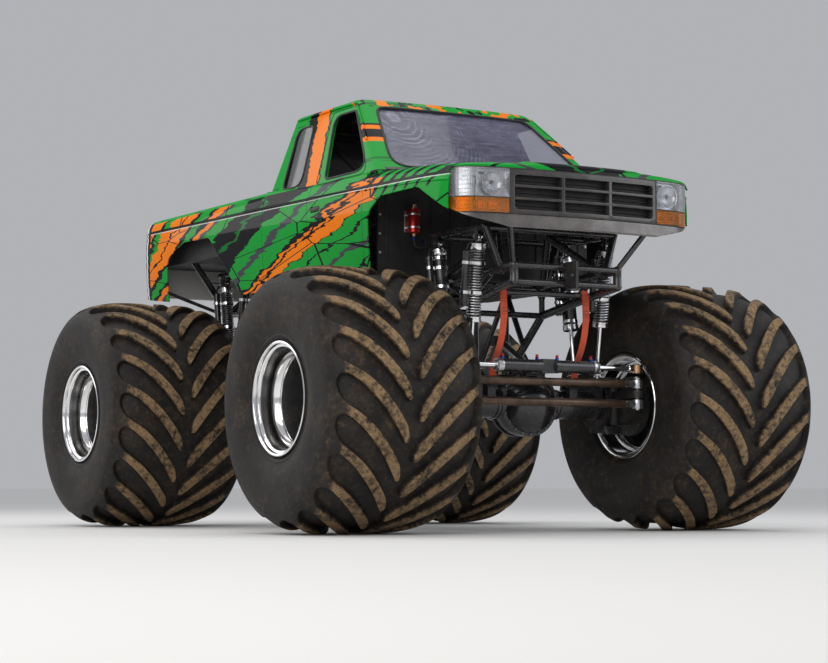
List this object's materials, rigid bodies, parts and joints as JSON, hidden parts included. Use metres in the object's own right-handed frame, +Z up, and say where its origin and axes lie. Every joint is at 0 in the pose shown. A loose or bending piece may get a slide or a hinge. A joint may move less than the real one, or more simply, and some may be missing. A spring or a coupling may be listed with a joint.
{
  "type": "monster truck",
  "caption": "Extended-cab pickup body on a tall tube chassis with huge tyres, planetary axles and four-wheel steering.",
  "frame": {"origin": "on the ground, on the centreline, midway between the axles", "axes": "+X forward to the nose, +Y to the left, +Z up"},
  "size_m": [4.926, 3.692, 2.972],
  "materials": {
    "black_tube": "gloss black powder coat",
    "cage_tube": "gloss black powder coat",
    "body_paint": "bright green gloss paint with orange and black stripes",
    "clear_glass": "clear polycarbonate",
    "dark_glass": "gloss black tinted pane",
    "liner_black": "satin black",
    "grille_grey": "dark grey",
    "lamp_clear": "clear lens over silver",
    "lamp_amber": "amber lens",
    "lamp_red": "red lens",
    "valance_silver": "silver grey",
    "seat_cloth": "black woven cover",
    "control_black": "black grip",
    "engine_metal": "plain block",
    "drive_steel": "black satin",
    "strap_web": "red orange webbing",
    "cylinder_black": "black gloss",
    "shock_silver": "silver anodised",
    "shaft_chrome": "hard chrome",
    "axle_black": "black satin",
    "knuckle_black": "black satin",
    "tie_steel": "brushed tube",
    "tyre": "black rubber with dried dirt on the lugs",
    "rim_polish": "polished"
  },
  "bodies": {
    "chassis": {"frame_left": "black_tube", "frame_right": "black_tube", "frame_cross_tubes": "black_tube", "tow_plates": "black_tube", "link_mounts": "black_tube", "shock_towers": "black_tube", "body_struts": "black_tube", "cage_sides": "cage_tube", "cage_cross_tubes": "cage_tube", "cab_shell": "body_paint", "hood": "body_paint", "door_left": "body_paint", "door_right": "body_paint", "fender_left": "body_paint", "fender_right": "body_paint", "bed_side_left": "body_paint", "bed_side_right": "body_paint", "tailgate": "body_paint", "windscreen": "clear_glass", "cab_glass": "dark_glass", "floor_pan": "liner_black", "bed_liner": "liner_black", "grille": "grille_grey", "headlamps": "lamp_clear", "signal_lamps": "lamp_amber", "tail_lamps": "lamp_red", "valance": "valance_silver", "seat": "seat_cloth", "steering_wheel": "control_black", "engine": "engine_metal", "driveline": "drive_steel", "link_bars": "drive_steel", "limit_straps": "strap_web", "steer_barrels": "cylinder_black", "shock_bodies": "shock_silver", "shock_shafts": "shaft_chrome", "axle_front": "axle_black", "axle_rear": "axle_black"},
    "knuckle_front_left": {"knuckle_front_left": "knuckle_black"},
    "wheel_front_left": {"tyre_front_left": "tyre", "rim_front_left": "rim_polish"},
    "knuckle_front_right": {"knuckle_front_right": "knuckle_black"},
    "wheel_front_right": {"tyre_front_right": "tyre", "rim_front_right": "rim_polish"},
    "knuckle_rear_left": {"knuckle_rear_left": "knuckle_black"},
    "wheel_rear_left": {"tyre_rear_left": "tyre", "rim_rear_left": "rim_polish"},
    "knuckle_rear_right": {"knuckle_rear_right": "knuckle_black"},
    "wheel_rear_right": {"tyre_rear_right": "tyre", "rim_rear_right": "rim_polish"},
    "tie_rod_front": {"tie_rod_front": "tie_steel"},
    "steer_rods_front": {"steer_rods_front": "shaft_chrome"},
    "tie_rod_rear": {"tie_rod_rear": "tie_steel"},
    "steer_rods_rear": {"steer_rods_rear": "shaft_chrome"}
  },
  "joints": [
    {"name": "steer_front_left", "type": "hinge", "parent": "chassis", "child": "knuckle_front_left", "pos_m": [1.625, 0.72, 0.838], "axis": [0, 0, 1], "range_deg": [-25, 25]},
    {"name": "spin_front_left", "type": "hinge", "parent": "knuckle_front_left", "child": "wheel_front_left", "pos_m": [1.625, 1.3, 0.838], "axis": [0, 1, 0], "continuous": true},
    {"name": "steer_front_right", "type": "hinge", "parent": "chassis", "child": "knuckle_front_right", "pos_m": [1.625, -0.72, 0.838], "axis": [0, 0, 1], "range_deg": [-25, 25]},
    {"name": "spin_front_right", "type": "hinge", "parent": "knuckle_front_right", "child": "wheel_front_right", "pos_m": [1.625, -1.3, 0.838], "axis": [0, 1, 0], "continuous": true},
    {"name": "steer_rear_left", "type": "hinge", "parent": "chassis", "child": "knuckle_rear_left", "pos_m": [-1.625, 0.72, 0.838], "axis": [0, 0, 1], "range_deg": [-25, 25]},
    {"name": "spin_rear_left", "type": "hinge", "parent": "knuckle_rear_left", "child": "wheel_rear_left", "pos_m": [-1.625, 1.3, 0.838], "axis": [0, 1, 0], "continuous": true},
    {"name": "steer_rear_right", "type": "hinge", "parent": "chassis", "child": "knuckle_rear_right", "pos_m": [-1.625, -0.72, 0.838], "axis": [0, 0, 1], "range_deg": [-25, 25]},
    {"name": "spin_rear_right", "type": "hinge", "parent": "knuckle_rear_right", "child": "wheel_rear_right", "pos_m": [-1.625, -1.3, 0.838], "axis": [0, 1, 0], "continuous": true},
    {"name": "tie_rod_front_turn", "type": "hinge", "parent": "knuckle_front_right", "child": "tie_rod_front", "pos_m": [1.905, -0.72, 0.838], "axis": [0, 0, 1], "range_deg": [-25, 25]},
    {"name": "steer_cylinders_front", "type": "slide", "parent": "chassis", "child": "steer_rods_front", "axis": [0, 1, 0], "range_m": [-0.119, 0.119]},
    {"name": "tie_rod_rear_turn", "type": "hinge", "parent": "knuckle_rear_right", "child": "tie_rod_rear", "pos_m": [-1.905, -0.72, 0.838], "axis": [0, 0, 1], "range_deg": [-25, 25]},
    {"name": "steer_cylinders_rear", "type": "slide", "parent": "chassis", "child": "steer_rods_rear", "axis": [0, 1, 0], "range_m": [-0.119, 0.119]}
  ],
  "couplings": [
    {"joint": "steer_front_left", "follows": "steer_front_right", "ratio": 1},
    {"joint": "tie_rod_front_turn", "follows": "steer_front_right", "ratio": -1},
    {"joint": "steer_cylinders_front", "follows": "steer_front_right", "m_per_rad": 0.2712},
    {"joint": "steer_rear_left", "follows": "steer_rear_right", "ratio": 1},
    {"joint": "tie_rod_rear_turn", "follows": "steer_rear_right", "ratio": -1},
    {"joint": "steer_cylinders_rear", "follows": "steer_rear_right", "m_per_rad": -0.2712}
  ]
}
